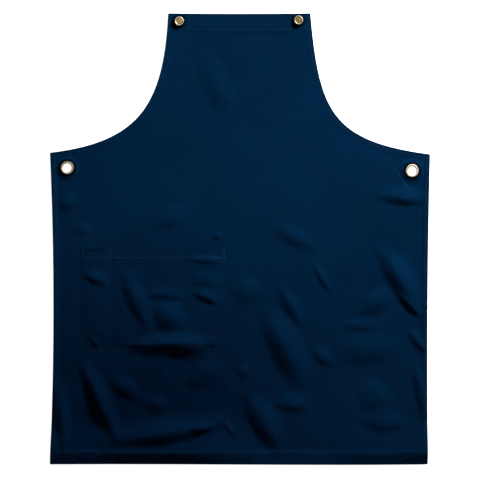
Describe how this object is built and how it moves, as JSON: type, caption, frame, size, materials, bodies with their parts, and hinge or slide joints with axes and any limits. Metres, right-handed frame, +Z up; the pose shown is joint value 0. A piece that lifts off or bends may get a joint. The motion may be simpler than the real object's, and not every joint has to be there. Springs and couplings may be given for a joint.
{
  "type": "bib apron",
  "caption": "Bib apron laid flat, with curved armholes, a patch pocket with a pen slot, metal eyelets at the sides and shank buttons at the bib's corners.",
  "frame": {"origin": "on the surface the apron lies on, under the middle of its outline", "axes": "+X to the right as seen from above, +Y along the apron towards the top of the bib, +Z up out of the front of the cloth"},
  "size_m": [0.686, 0.815, 0.0122],
  "materials": {
    "canvas": "deep navy cotton canvas, matt, softly creased",
    "thread": "navy sewing thread, a little lighter than the canvas",
    "aged_brass": "antique brass, dark in the recesses and rubbed bright on the rims",
    "back_metal": "plain plated steel, dull"
  },
  "bodies": {
    "root": {"apron_panel": "canvas", "top_hem": "canvas", "left_armhole_hem": "canvas", "right_armhole_hem": "canvas", "left_side_hem": "canvas", "right_side_hem": "canvas", "bottom_hem": "canvas", "pocket": "canvas", "pocket_hem": "canvas", "left_eyelet": "aged_brass", "right_eyelet": "aged_brass", "left_eyelet_washer": "back_metal", "right_eyelet_washer": "back_metal", "left_button": "aged_brass", "right_button": "aged_brass", "left_button_tack": "back_metal", "right_button_tack": "back_metal"}
  },
  "joints": []
}
